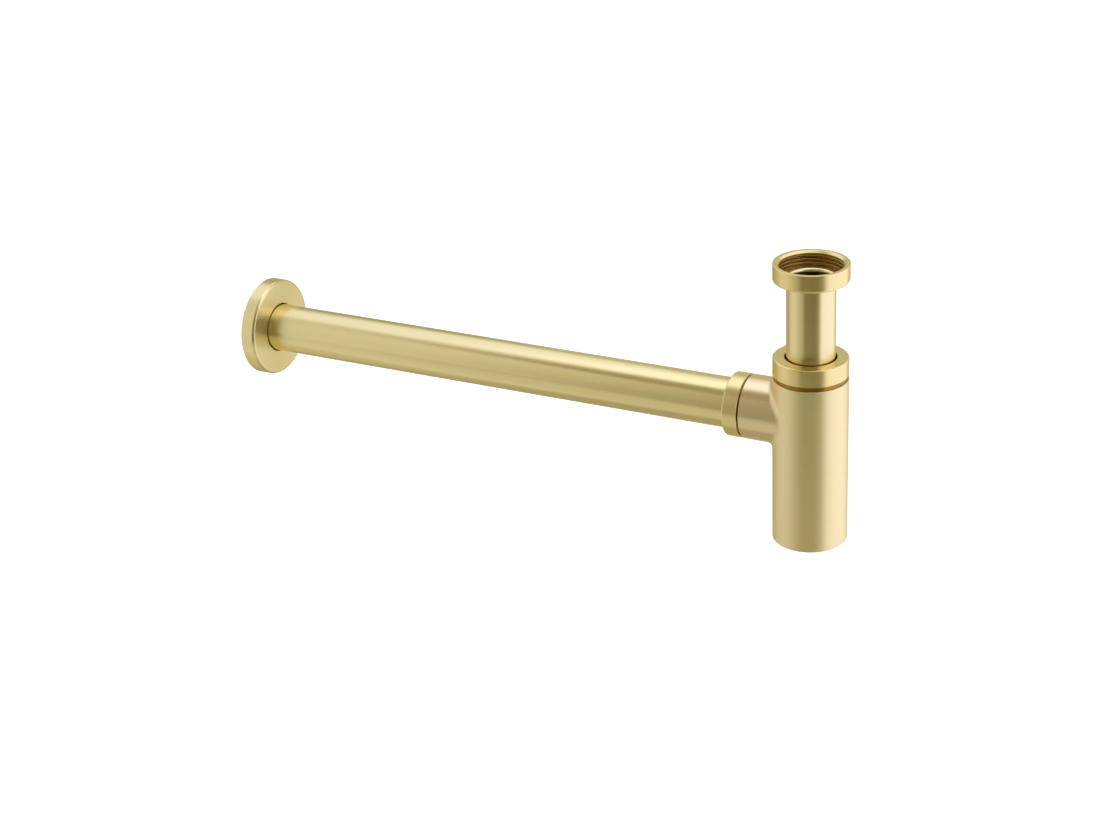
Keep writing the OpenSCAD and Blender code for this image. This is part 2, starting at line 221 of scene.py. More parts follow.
class TrapStage(PropertyGroup):
    """Floor and light tent"""

    floor_drop: FloatProperty(
        name="Floor drop", description="Depth of the floor under the object's origin",
        subtype="DISTANCE", unit="LENGTH", min=0.3, max=3, default=1.3,
    )
    tent_radius: FloatProperty(
        name="Tent radius", description="Radius of the light tent round the object",
        subtype="DISTANCE", unit="LENGTH", min=0.6, max=6, default=1.0,
    )
    bright_panel: FloatVectorProperty(
        name="Bright panel", description="Light of the panel to the right of the camera",
        subtype="COLOR", size=3, min=0, soft_max=2, default=(1.19, 1.18, 1.56),
    )
    side_panel: FloatVectorProperty(
        name="Side panel", description="Light of the panel to the left of the camera",
        subtype="COLOR", size=3, min=0, soft_max=2, default=(0.82, 0.80, 0.82),
    )
    dark_panel: FloatVectorProperty(
        name="Dark panel", description="Light of the warm grey panel behind the camera",
        subtype="COLOR", size=3, min=0, soft_max=2, default=(0.26, 0.23, 0.147),
    )
    tan_panel: FloatVectorProperty(
        name="Tan panel", description="Light of the strip between the left and the warm panel",
        subtype="COLOR", size=3, min=0, soft_max=2, default=(0.43, 0.39, 0.29),
    )
    low_panel: FloatVectorProperty(
        name="Low panel", description="Light of the lower part of the panel behind the camera",
        subtype="COLOR", size=3, min=0, soft_max=2, default=(0.67, 0.62, 0.46),
    )
    corner_panel: FloatVectorProperty(
        name="Corner panel", description="Light of the pale corner at the lower left",
        subtype="COLOR", size=3, min=0, soft_max=2, default=(0.66, 0.64, 0.56),
    )
    eave_panel: FloatVectorProperty(
        name="Eave panel", description="Light of the strip under the roof, to the left",
        subtype="COLOR", size=3, min=0, soft_max=2, default=(0.32, 0.26, 0.125),
    )
    far_panel: FloatVectorProperty(
        name="Far panel", description="Light of the panel behind and to the right",
        subtype="COLOR", size=3, min=0, soft_max=2, default=(0.69, 0.67, 0.54),
    )
    door_panel: FloatVectorProperty(
        name="Door panel", description="Light of the panel behind and to the right, at the wall",
        subtype="COLOR", size=3, min=0, soft_max=2, default=(0.60, 0.58, 0.53),
    )
    skirt_panel: FloatVectorProperty(
        name="Skirt panel", description="Light of the lower part of the left panel",
        subtype="COLOR", size=3, min=0, soft_max=2, default=(0.64, 0.60, 0.51),
    )
    camera_panel: FloatVectorProperty(
        name="Camera panel", description="Light of the dark opening round the camera",
        subtype="COLOR", size=3, min=0, soft_max=2, default=(0.095, 0.078, 0.033),
    )
    shade_panel: FloatVectorProperty(
        name="Shade panel", description="Brown shade beside the dark panel",
        subtype="COLOR", size=3, min=0, soft_max=2, default=(0.50, 0.42, 0.18),
    )
    brow_panel: FloatVectorProperty(
        name="Brow panel", description="Dusk above the camera panel",
        subtype="COLOR", size=3, min=0, soft_max=2, default=(0.22, 0.195, 0.10),
    )
    belly_panel: FloatVectorProperty(
        name="Belly panel", description="Shade that the bellies of the level tubes show",
        subtype="COLOR", size=3, min=0, soft_max=2, default=(0.45, 0.40, 0.25),
    )
    warm_panel: FloatVectorProperty(
        name="Warm panel", description="Lower part of the bright panel",
        subtype="COLOR", size=3, min=0, soft_max=2, default=(1.05, 1.04, 0.94),
    )
    upper_panel: FloatVectorProperty(
        name="Upper panel", description="Light of the panel over the camera",
        subtype="COLOR", size=3, min=0, soft_max=2, default=(0.88, 0.88, 0.90),
    )
    back_panel: FloatVectorProperty(
        name="Back panel", description="Light of the panel behind and to the left",
        subtype="COLOR", size=3, min=0, soft_max=2, default=(0.47, 0.45, 0.41),
    )
    roof_panel: FloatVectorProperty(
        name="Roof panel", description="Light of the roof of the tent",
        subtype="COLOR", size=3, min=0, soft_max=2, default=(1.05, 1.08, 1.35),
    )
    ground: FloatVectorProperty(
        name="Ground", description="Light from below the object",
        subtype="COLOR", size=3, min=0, soft_max=2, default=(0.46, 0.425, 0.345),
    )


class TrapCamera(PropertyGroup):
    """Camera at the photograph's viewing angle"""

    azimuth: FloatProperty(
        name="Azimuth", description="Turn of the camera about the vertical",
        subtype="ANGLE", unit="ROTATION", default=math.radians(28.611),
    )
    elevation: FloatProperty(
        name="Elevation", description="Height angle of the camera",
        subtype="ANGLE", unit="ROTATION", default=math.radians(24.739),
    )
    roll: FloatProperty(
        name="Roll", description="Tilt of the camera about its own axis",
        subtype="ANGLE", unit="ROTATION", default=math.radians(-2.791),
    )
    distance: FloatProperty(
        name="Distance", description="Distance from the camera to its target",
        subtype="DISTANCE", unit="LENGTH", min=0.3, max=6, default=1.41871,
    )
    target: FloatVectorProperty(
        name="Target", description="Point at the middle of the picture",
        subtype="XYZ", unit="LENGTH", size=3, default=(-0.1810, -0.0002, -0.11978),
    )
    lens: FloatProperty(
        name="Lens", description="Focal length on a 36 mm frame",
        subtype="DISTANCE_CAMERA", min=20, max=200, default=71.06,
    )


# Shared shader groups


class Nodes:
    """Adds and links shader nodes in one tree"""

    def __init__(self, tree):
        self.tree = tree

    def add(self, kind, *inputs, **settings):
        node = self.tree.nodes.new(kind)
        for key, value in settings.items():
            setattr(node, key, value)
        for index, value in enumerate(inputs):
            self.feed(node.inputs[index], value)
        return node

    def feed(self, socket, value):
        if isinstance(value, bpy.types.NodeSocket):
            self.tree.links.new(value, socket)
        elif value is not None:
            socket.default_value = value

    def math(self, operation, *inputs):
        return self.add("ShaderNodeMath", *inputs, operation=operation).outputs[0]

    def vector(self, operation, *inputs):
        node = self.add("ShaderNodeVectorMath", *inputs, operation=operation)
        return node.outputs["Value" if operation in ("LENGTH", "DOT_PRODUCT") else "Vector"]

    def split(self, vector):
        return self.add("ShaderNodeSeparateXYZ", vector).outputs

    def reach(self, vector):
        """Distance from the axis that +Z runs along"""
        parts = self.split(vector)
        across = self.add("ShaderNodeCombineXYZ", parts["X"], parts["Y"], 0.0)
        return self.vector("LENGTH", across.outputs["Vector"])

    def ramp(self, value, low, high, to_low=0.0, to_high=1.0):
        node = self.add("ShaderNodeMapRange", value, low, high, to_low, to_high,
                        interpolation_type="SMOOTHSTEP")
        return node.outputs["Result"]

    def mix(self, factor, one, two, kind="RGBA"):
        node = self.add("ShaderNodeMix", data_type=kind)
        self.feed(node.inputs["Factor"], factor)
        self.feed(node.inputs["A"], one)
        self.feed(node.inputs["B"], two)
        return node.outputs["Result"]

    def between(self, value, low, high, soft):
        """Mask that is 1 between two values, with soft ends"""
        rise = self.ramp(value, low - soft, low + soft)
        fall = self.ramp(value, high - soft, high + soft, 1.0, 0.0)
        return self.math("MULTIPLY", rise, fall)

    def noise(self, vector, scale, detail=2.0, roughness=0.5):
        node = self.add("ShaderNodeTexNoise")
        self.feed(node.inputs["Vector"], vector)
        node.inputs["Scale"].default_value = scale
        node.inputs["Detail"].default_value = detail
        node.inputs["Roughness"].default_value = roughness
        return node.outputs["Fac"]


def shader_group(name, inputs, outputs):
    """Makes an empty shader group, and returns it with its nodes, input and output node"""
    group = bpy.data.node_groups.new(name, "ShaderNodeTree")
    for label, kind, default in inputs:
        socket = group.interface.new_socket(label, in_out="INPUT", socket_type=kind)
        if default is not None:
            socket.default_value = default
    for label, kind in outputs:
        group.interface.new_socket(label, in_out="OUTPUT", socket_type=kind)
    nodes = Nodes(group)
    return group, nodes, nodes.add("NodeGroupInput"), nodes.add("NodeGroupOutput")


def turned_grain_group():
    """Fine grain that runs round the axis of a turned piece, on its sides and its end faces"""
    round_scale, broad_scale, patch_scale = 110.0, 0.11, 55.0
    fine_share, broad_share, patch_share = 0.55, 0.45, 0.8
    group, nodes, given, result = shader_group(
        "Turned Grain",
        [("Vector", "NodeSocketVector", None), ("Width", "NodeSocketFloat", 0.00035),
         ("Roughness", "NodeSocketFloat", 0.3), ("Spread", "NodeSocketFloat", 0.035)],
        [("Height", "NodeSocketFloat"), ("Roughness", "NodeSocketFloat"),
         ("Streak", "NodeSocketFloat")],
    )
    parts = nodes.split(given.outputs["Vector"])
    reach = nodes.reach(given.outputs["Vector"])
    along = nodes.math("DIVIDE", nodes.math("ADD", parts["Z"], reach), given.outputs["Width"])
    lines = nodes.add("ShaderNodeCombineXYZ",
                      nodes.math("MULTIPLY", parts["X"], round_scale),
                      nodes.math("MULTIPLY", parts["Y"], round_scale), along)
    fine = nodes.noise(lines.outputs["Vector"], 1.0, 3.0, 0.65)
    broad = nodes.noise(lines.outputs["Vector"], broad_scale, 2.0, 0.6)
    patches = nodes.noise(given.outputs["Vector"], patch_scale, 3.0, 0.55)
    streak = nodes.math("ADD", nodes.math("MULTIPLY", fine, fine_share),
                        nodes.math("MULTIPLY", broad, broad_share))
    swing = nodes.math("ADD", nodes.math("SUBTRACT", streak, 0.5),
                       nodes.math("MULTIPLY", nodes.math("SUBTRACT", patches, 0.5),
                                  patch_share))
    nodes.feed(result.inputs["Height"], fine)
    nodes.feed(result.inputs["Roughness"],
               nodes.math("MULTIPLY_ADD", swing, given.outputs["Spread"],
                          given.outputs["Roughness"]))
    nodes.feed(result.inputs["Streak"], streak)
    return group


def tone_group():
    """Colour that drifts a little over a piece, deepens in its streaks, and takes painted shade
    where its shade mask says
    """
    drift_scale, warm_tone, warm_share = 18.0, (0.72, 0.53, 0.24, 1), 0.08
    streak_low, streak_high, streak_tone, streak_share = 0.35, 0.65, (0.45, 0.33, 0.13, 1), 0.035
    group, nodes, given, result = shader_group(
        "Brass Tone",
        [("Vector", "NodeSocketVector", None), ("Colour", "NodeSocketColor", (0.8, 0.7, 0.4, 1)),
         ("Painted Shade Colour", "NodeSocketColor", (0.4, 0.2, 0.03, 1)),
         ("Streak", "NodeSocketFloat", 0.5), ("Painted Shade", "NodeSocketFloat", 0.0)],
        [("Colour", "NodeSocketColor")],
    )
    drift = nodes.noise(given.outputs["Vector"], drift_scale, 3.0, 0.5)
    warm = nodes.mix(nodes.math("MULTIPLY", drift, warm_share), given.outputs["Colour"],
                     warm_tone)
    streaks = nodes.ramp(given.outputs["Streak"], streak_low, streak_high, streak_share, 0.0)
    deep = nodes.mix(streaks, warm, streak_tone)
    # The last mix lays painted shade over the colour where the shade mask is 1
    nodes.feed(result.inputs["Colour"],
               nodes.mix(given.outputs["Painted Shade"], deep, given.outputs["Painted Shade Colour"]))
    return group


def thread_group():
    """Height of a screw thread about +Z, between two heights and near one radius"""
    slack = 0.0002
    group, nodes, given, result = shader_group(
        "Screw Thread",
        [("Vector", "NodeSocketVector", None), ("Pitch", "NodeSocketFloat", FINE_PITCH),
         ("Start", "NodeSocketFloat", 0.0), ("End", "NodeSocketFloat", 0.01),
         ("Reach", "NodeSocketFloat", 0.02)],
        [("Height", "NodeSocketFloat")],
    )
    parts = nodes.split(given.outputs["Vector"])
    turn = nodes.math("DIVIDE", nodes.math("ARCTAN2", parts["Y"], parts["X"]), 2 * math.pi)
    rise = nodes.math("DIVIDE", parts["Z"], given.outputs["Pitch"])
    wave = nodes.math("COSINE", nodes.math("MULTIPLY", nodes.math("SUBTRACT", rise, turn),
                                           2 * math.pi))
    above = nodes.math("GREATER_THAN", parts["Z"], given.outputs["Start"])
    below = nodes.math("LESS_THAN", parts["Z"], given.outputs["End"])
    off = nodes.math("SUBTRACT", nodes.reach(given.outputs["Vector"]), given.outputs["Reach"])
    near = nodes.math("LESS_THAN", nodes.math("ABSOLUTE", off), slack)
    mask = nodes.math("MULTIPLY", nodes.math("MULTIPLY", above, below), near)
    nodes.feed(result.inputs["Height"],
               nodes.math("MULTIPLY", nodes.math("MULTIPLY_ADD", wave, 0.5, 0.5), mask))
    return group


def moulded_group():
    """Faint pores and a patchy bloom, for rubber and plastic"""
    pore_scale, bloom_scale, bloom_low, bloom_high = 2600.0, 160.0, 0.45, 0.75
    bloom_share, rough_swing = 0.5, 0.25
    group, nodes, given, result = shader_group(
        "Moulded Skin",
        [("Vector", "NodeSocketVector", None), ("Colour", "NodeSocketColor", (0.5, 0.5, 0.5, 1)),
         ("Bloom Colour", "NodeSocketColor", (0.6, 0.6, 0.6, 1)),
         ("Roughness", "NodeSocketFloat", 0.6)],
        [("Colour", "NodeSocketColor"), ("Roughness", "NodeSocketFloat"),
         ("Height", "NodeSocketFloat")],
    )
    pores = nodes.noise(given.outputs["Vector"], pore_scale, 2.0, 0.6)
    bloom = nodes.noise(given.outputs["Vector"], bloom_scale, 3.0, 0.6)
    nodes.feed(result.inputs["Colour"],
               nodes.mix(nodes.ramp(bloom, bloom_low, bloom_high, 0.0, bloom_share),
                         given.outputs["Colour"], given.outputs["Bloom Colour"]))
    nodes.feed(result.inputs["Roughness"],
               nodes.math("MULTIPLY_ADD", nodes.math("SUBTRACT", bloom, 0.5), rough_swing,
                          given.outputs["Roughness"]))
    nodes.feed(result.inputs["Height"], pores)
    return group


def place_group(nodes, name):
    """Places a shared group in a material, and builds the group once"""
    builders = {"Turned Grain": turned_grain_group, "Brass Tone": tone_group,
                "Screw Thread": thread_group, "Moulded Skin": moulded_group}
    group = bpy.data.node_groups.get(name) or builders[name]()
    node = nodes.add("ShaderNodeGroup")
    node.node_tree = group
    return node


def bare_material(name):
    """Makes a material with no nodes yet, and returns it with its node helper"""
    material = bpy.data.materials.new(name)
    material.use_nodes = True
    material.node_tree.nodes.clear()
    return material, Nodes(material.node_tree)


def start_material(name):
    """Makes a material with one Principled shader, and returns both with the node helper"""
    material, nodes = bare_material(name)
    shader = nodes.add("ShaderNodeBsdfPrincipled")
    nodes.add("ShaderNodeOutputMaterial", shader.outputs["BSDF"])
    return material, nodes, shader


def along_axis(nodes, axis):
    """Object coordinates turned so that the piece's own axis is +Z"""
    place = nodes.add("ShaderNodeTexCoord").outputs["Object"]
    if axis == "Z":
        return place
    mapping = nodes.add("ShaderNodeMapping", vector_type="TEXTURE")
    nodes.feed(mapping.inputs["Vector"], place)
    mapping.inputs["Location"].default_value = (0, 0, OUTLET_Z)
    mapping.inputs["Rotation"].default_value = (0, -math.pi / 2, 0)
    return mapping.outputs["Vector"]


def grain_cross(nodes, axis):
    """Direction across the grain: along the axis on the sides, outwards on the end faces"""
    parts = nodes.split(along_axis(nodes, "Z"))
    if axis == "Z":
        outward = nodes.add("ShaderNodeCombineXYZ", parts["X"], parts["Y"], 0.0)
        length = (0.0, 0.0, 1.0)
    else:
        lift = nodes.math("SUBTRACT", parts["Z"], OUTLET_Z)
        outward = nodes.add("ShaderNodeCombineXYZ", 0.0, parts["Y"], lift)
        length = (1.0, 0.0, 0.0)
    return nodes.vector("ADD", nodes.vector("NORMALIZE", outward.outputs["Vector"]), length)


def rgba(colour):
    """Colour with a full alpha"""
    return (*colour, 1.0)


def bottle_grooves(nodes, place):
    """Mask of the turned recess under the neck nut and of the gap beside the branch nut, where
    the bottle is painted darker as shade
    """
    recess_soft, gap_soft = 0.0001, 0.00005
    parts = nodes.split(place)
    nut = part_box("neck_nut")[0].z
    height = nodes.between(parts["Z"], nut - RECESS_LENGTH, nut, recess_soft)
    inside = nodes.math("LESS_THAN", nodes.reach(place), RECESS_R)
    ring = nodes.math("MULTIPLY", height, inside)
    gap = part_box("branch_nut")[1].x
    beside = nodes.between(parts["X"], gap, gap + GAP_LENGTH, gap_soft)
    low = nodes.math("LESS_THAN", nodes.reach(along_axis(nodes, "X")), GAP_R)
    return nodes.math("MAXIMUM", ring, nodes.math("MULTIPLY", beside, low))


def shaded_inside(nodes, place, bore, mouth):
    """Mask of painted shade on the metal inside a radius and under a height, with soft ends"""
    side_soft, mouth_soft = 0.0004, 0.0012
    inside = nodes.ramp(nodes.reach(place), bore, bore + side_soft, 1.0, 0.0)
    deep = nodes.ramp(nodes.split(place)["Z"], mouth - mouth_soft, mouth, 1.0, 0.0)
    return nodes.math("MULTIPLY", inside, deep)


def brass_material(name, finish, colour, axis, roughness, threads=(), branched=False,
                   bore=0.0, mouth=1.0, face=0.0):
    """Satin brass with its grain round an axis

    Each of the threads is an axis, a low and a high end and a radius, and is only shaded.
    branched is for the bottle: outside its body the grain and the colour are the branch's, and
    its recess and gap are painted darker as shade. Inside the radius bore and under the height
    mouth the metal is painted dark as shade. On a flat face it is rougher, up to the rounding at
    the radius face.
    """
    material, nodes, shader = start_material(name)
    place, cross = along_axis(nodes, axis), grain_cross(nodes, axis)
    tone = place_group(nodes, "Brass Tone")
    nodes.feed(tone.inputs["Colour"], rgba(colour))
    if branched:
        starts, full = BODY_R + 0.0002, BODY_R + 0.002
        out = nodes.ramp(nodes.reach(place), starts, full)
        groove = bottle_grooves(nodes, place)
        place = nodes.mix(out, place, along_axis(nodes, "X"), "VECTOR")
        cross = nodes.mix(out, cross, grain_cross(nodes, "X"), "VECTOR")
        nodes.feed(tone.inputs["Colour"],
                   nodes.mix(out, rgba(colour), rgba(finish.branch_colour)))
        # Painted shade in the recess under the neck nut and the gap beside the branch nut
        nodes.feed(tone.inputs["Painted Shade"], groove)
    # Painted shade inside the bore and under the mouth
    if bore:
        nodes.feed(tone.inputs["Painted Shade"], shaded_inside(nodes, place, bore, mouth))
    marks = place_group(nodes, "Turned Grain")
    nodes.feed(marks.inputs["Vector"], place)
    marks.inputs["Width"].default_value = finish.grain_width
    marks.inputs["Roughness"].default_value = roughness
    nodes.feed(tone.inputs["Vector"], place)
    # Colour of the painted shade: the bore's where there is a bore, else the recess's
    nodes.feed(tone.inputs["Painted Shade Colour"],
               rgba(finish.bore_shade_colour if bore else finish.recess_amber_and_shade))
    nodes.feed(tone.inputs["Streak"], marks.outputs["Streak"])
    nodes.feed(shader.inputs["Base Color"], tone.outputs["Colour"])
    rough = marks.outputs["Roughness"]
    if branched:
        branch_share, groove_change = 0.55, -0.2
        smoother = nodes.math("MULTIPLY_ADD", out, branch_share - 1, 1.0)
        rough = nodes.math("MULTIPLY_ADD", groove, groove_change,
                           nodes.math("MULTIPLY", rough, smoother))
    if face:
        face_share, flat, rounded = 1.5, face - 0.0012, face - 0.0006
        rougher = nodes.ramp(nodes.reach(place), flat, rounded, face_share, 1.0)
        rough = nodes.math("MULTIPLY", rough, rougher)
    nodes.feed(shader.inputs["Roughness"], rough)
    shader.inputs["Metallic"].default_value = 1.0
    shader.inputs["Anisotropic"].default_value = finish.grain_stretch
    shader.inputs["Specular Tint"].default_value = rgba(finish.edge_tint)
    nodes.feed(shader.inputs["Tangent"], cross)
    bump = nodes.add("ShaderNodeBump")
    bump.inputs["Strength"].default_value = finish.grain_depth
    bump.inputs["Distance"].default_value = 0.00002
    nodes.feed(bump.inputs["Height"], marks.outputs["Height"])
    normal = bump.outputs["Normal"]
    for thread_axis, low, high, radius in threads:
        screw = place_group(nodes, "Screw Thread")
        nodes.feed(screw.inputs["Vector"], along_axis(nodes, thread_axis))
        for label, value in (("Pitch", FINE_PITCH), ("Start", low), ("End", high),
                             ("Reach", radius)):
            screw.inputs[label].default_value = value
        cut = nodes.add("ShaderNodeBump")
        cut.inputs["Strength"].default_value = 1.0
        cut.inputs["Distance"].default_value = finish.thread_depth
        nodes.feed(cut.inputs["Height"], screw.outputs["Height"])
        nodes.feed(cut.inputs["Normal"], normal)
        normal = cut.outputs["Normal"]
    nodes.feed(shader.inputs["Normal"], normal)
    return material


def moulded_material(name, colour, bloom, roughness):
    """Rubber or plastic, moulded"""
    material, nodes, shader = start_material(name)
    place = along_axis(nodes, "Z")
    skin = place_group(nodes, "Moulded Skin")
    nodes.feed(skin.inputs["Vector"], place)
    nodes.feed(skin.inputs["Colour"], rgba(colour))
    nodes.feed(skin.inputs["Bloom Colour"], rgba(bloom))
    skin.inputs["Roughness"].default_value = roughness
    nodes.feed(shader.inputs["Base Color"], skin.outputs["Colour"])
    nodes.feed(shader.inputs["Roughness"], skin.outputs["Roughness"])
    shader.inputs["Specular IOR Level"].default_value = 0.25
    bump = nodes.add("ShaderNodeBump")
    bump.inputs["Strength"].default_value = 0.3
    bump.inputs["Distance"].default_value = 0.00003
    nodes.feed(bump.inputs["Height"], skin.outputs["Height"])
    nodes.feed(shader.inputs["Normal"], bump.outputs["Normal"])
    return material


# Modelling helpers


def piece_from(bm, name, material):
    """Makes an object of a finished mesh, smooth but for its sharp edges"""
    bmesh.ops.recalc_face_normals(bm, faces=bm.faces)
    for edge in bm.edges:
        if edge.is_manifold and edge.calc_face_angle(0.0) > SHARP_ANGLE:
            edge.smooth = False
    for face in bm.faces:
        face.smooth = True
    mesh = bpy.data.meshes.new(name)
    bm.to_mesh(mesh)
    bm.free()
    mesh.materials.append(material)
    piece = bpy.data.objects.new(name, mesh)
    bpy.context.scene.collection.objects.link(piece)
    return piece


def lathe(outline):
    """Turns a closed outline of (radius, height) corners about the axis of the bottle"""
    bm = bmesh.new()
    ring = [bm.verts.new((radius, 0.0, height)) for radius, height in outline]
    edges = [bm.edges.new((ring[i - 1], ring[i])) for i in range(len(ring))]
    bmesh.ops.spin(bm, geom=ring + edges, cent=(0, 0, 0), axis=(0, 0, 1), dvec=(0, 0, 0),
                   angle=2 * math.pi, steps=TURN_STEPS, use_merge=True, use_duplicate=False)
    bmesh.ops.recalc_face_normals(bm, faces=bm.faces)
    return bm


def round_edge(bm, radius, height, size, segments):
    """Bevels the whole edge that runs round at one radius and height"""
    near = 1e-6

    def on_it(vert):
        reach = math.hypot(vert.co.x, vert.co.y)
        return abs(reach - radius) < near and abs(vert.co.z - height) < near

    edges = [e for e in bm.edges if on_it(e.verts[0]) and on_it(e.verts[1])]
    bmesh.ops.bevel(bm, geom=edges, offset=size, offset_type="OFFSET", affect="EDGES",
                    segments=segments, profile=0.5, material=-1)


def screw_strip(bm, outline, pitch, turns, start, steps):
    """Spins a closed outline about the axis with a rise, as a screw thread"""
    ring = [bm.verts.new((radius, 0.0, start + height)) for radius, height in outline]
    face = bm.faces.new(ring)
    bmesh.ops.spin(bm, geom=[face], cent=(0, 0, 0), axis=(0, 0, 1),
                   dvec=(0, 0, pitch / steps), angle=2 * math.pi * turns,
                   steps=round(steps * turns), use_merge=False, use_duplicate=False)


# Operators, one for each group of pieces


class TRAP_OT_finishes(Operator):
    """Give every solid its finish"""

    bl_idname = "trap.finishes"
    bl_label = "Finishes"

    def execute(self, context):
        finish = context.scene.trap_finish
        satin, drawn, nut = finish.satin_colour, finish.drawn_colour, finish.nut_colour
        rough = finish.roughness
        neck_thread = ("Z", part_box("neck_nut")[0].z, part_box("neck_slip_ring")[0].z,
                       NECK_THREAD_R)
        branch_thread = ("X", -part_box("branch_nut")[1].x, -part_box("branch_slip_ring")[1].x,
                         BRANCH_THREAD_R)
        plug_thread = ("Z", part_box("plug_o_ring")[1].z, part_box("cleaning_plug")[1].z,
                       PLUG_THREAD_R)
        # The dip tube is painted dark as shade inside its bore, below its collar
        upright = brass_material("Satin Brass Upright", finish, satin, "Z", rough * 0.95,
                                 bore=DIP_SHADE_R, mouth=DIP_SHADE_Z)
        plug = brass_material("Satin Brass Plug", finish, satin, "Z", rough * 0.85,
                              threads=[plug_thread])
        level = brass_material("Satin Brass Level", finish, drawn, "X", rough * 0.85)
        flange = brass_material("Satin Brass Flange", finish, drawn, "X", rough * 0.85,
                                face=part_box("wall_flange")[1].y)
        # The nuts are painted dark as shade inside their holes
        nut_upright = brass_material("Nut Brass Upright", finish, nut, "Z", rough,
                                     bore=NECK_NUT_SHADE_R)
        nut_level = brass_material("Nut Brass Level", finish, nut, "X", rough,
                                   bore=BRANCH_NUT_SHADE_R)
        cast = brass_material("Cast Brass Body", finish, finish.cast_colour, "Z", rough * 1.6,
                              threads=[neck_thread, branch_thread], branched=True)
        # The union nut's thread is darker as painted shade inside the nut's mouth
        brass_material("Cut Thread Brass Shade", finish, finish.thread_tone_and_shade, "Z", rough * 1.25)
        rubber = moulded_material("Black Rubber", finish.rubber_colour,
                                  bloom=(0.03, 0.03, 0.032), roughness=0.55)
        # Black plastic of the slip rings, as painted shade in the gaps at the nuts
        plastic = moulded_material("Black Plastic Gap Shade", finish.slip_ring_shade_colour,
                                   bloom=(0.04, 0.04, 0.042), roughness=0.62)
        finishes = {
            upright: ("inlet_tube",),
            plug: ("cleaning_plug",),
            level: ("outlet_tube",),
            flange: ("wall_flange",),
            nut_upright: ("neck_nut", "union_nut"),
            nut_level: ("branch_nut",),
            cast: ("bottle",),
            rubber: ("neck_cone_seal", "branch_cone_seal", "flange_o_ring", "plug_o_ring"),
            plastic: ("neck_slip_ring", "branch_slip_ring"),
        }
        for material, names in finishes.items():
            for name in names:
                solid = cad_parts[name]
                solid.data.materials.clear()
                solid.data.materials.append(material)
        return {"FINISHED"}


class TRAP_OT_union_nut(Operator):
    """Model the union nut with its pipe thread"""

    bl_idname = "trap.union_nut"
    bl_label = "Union Nut"

    def execute(self, context):
        sizes = context.scene.trap_thread
        low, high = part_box("union_nut")
        collar, lip = low.z + sizes.floor, high.z - sizes.chamfer
        screw = piece_from(union_screw(sizes, collar, lip), "union_nut_screw",
                           bpy.data.materials["Cut Thread Brass Shade"])
        shell = piece_from(union_shell(sizes, high.x, low.z, high.z), "union_nut_shell",
                           bpy.data.materials["Nut Brass Upright"])
        for piece in (screw, shell):
            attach(piece, "union")
        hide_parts("union_nut")
        return {"FINISHED"}


def union_shell(sizes, outer, bottom, top):
    """The union nut without its thread: a ring with a floor, and a chamfer at its mouth

    The wall stands a little behind the roots of the thread. Two more loops beside the roundings
    hold the outside straight.
    """
    top_round, mouth_round, hole_round = 0.0003, 0.0002, 0.00025
    behind, hold = 0.0001, 0.0003
    wall, mouth = sizes.root + behind, sizes.crest + sizes.chamfer
    collar, lip = bottom + sizes.floor, top - sizes.chamfer
    bm = lathe([(UNION_HOLE_R, bottom), (outer, bottom),
                (outer, bottom + sizes.rounding + hold), (outer, top - (top_round + hold)),
                (outer, top), (mouth, top), (sizes.crest, lip),
                (wall, lip - (wall - sizes.crest)), (wall, collar), (UNION_HOLE_R, collar)])
    round_edge(bm, outer, bottom, sizes.rounding, segments=8)
    round_edge(bm, outer, top, top_round, segments=3)
    round_edge(bm, mouth, top, mouth_round, segments=3)
    round_edge(bm, UNION_HOLE_R, bottom, hole_round, segments=2)
    return bm


def union_screw(sizes, collar, lip):
    """Thread of the union nut, from the collar up to the lead-in chamfer

    The ridge is a wave with a flat crest and root, and its foot reaches into the wall. It sinks
    to the root beside the tube's collar, which ends at height 0, and a little in the chamfer.
    """
    pitch, crest, root = sizes.pitch, sizes.crest, sizes.root
    points, steepness, root_flat, foot = 12, 1.15, 0.04, root + 0.0004
    steps, run_out, gap, sunk = 96, 0.25, 0.00005, 0.0002
    outline = [(foot, -pitch / 2)]
    for step in range(points + 1):
        share = step / points
        wave = 0.5 - 0.5 * math.cos(2 * math.pi * share)
        flank = min(1.0, max(0.0, steepness * wave - root_flat))
        outline.append((root - (root - crest) * flank, pitch * (share - 0.5)))
    outline.append((foot, pitch / 2))
    bm = bmesh.new()
    screw_strip(bm, outline, pitch, (lip - collar) / pitch + 2 * run_out,
                collar - pitch * run_out, steps)
    bottom, top = collar + gap, lip - gap
    for vert in bm.verts:
        least = crest
        if vert.co.z < 0.0:
            least = root
        if vert.co.z > top:
            least = crest + sunk
        grow = max(1.0, least / math.hypot(vert.co.x, vert.co.y))
        vert.co = Vector((vert.co.x * grow, vert.co.y * grow,
                          min(max(vert.co.z, bottom), top)))
    bmesh.ops.dissolve_degenerate(bm, dist=WELD, edges=bm.edges)
    return bm


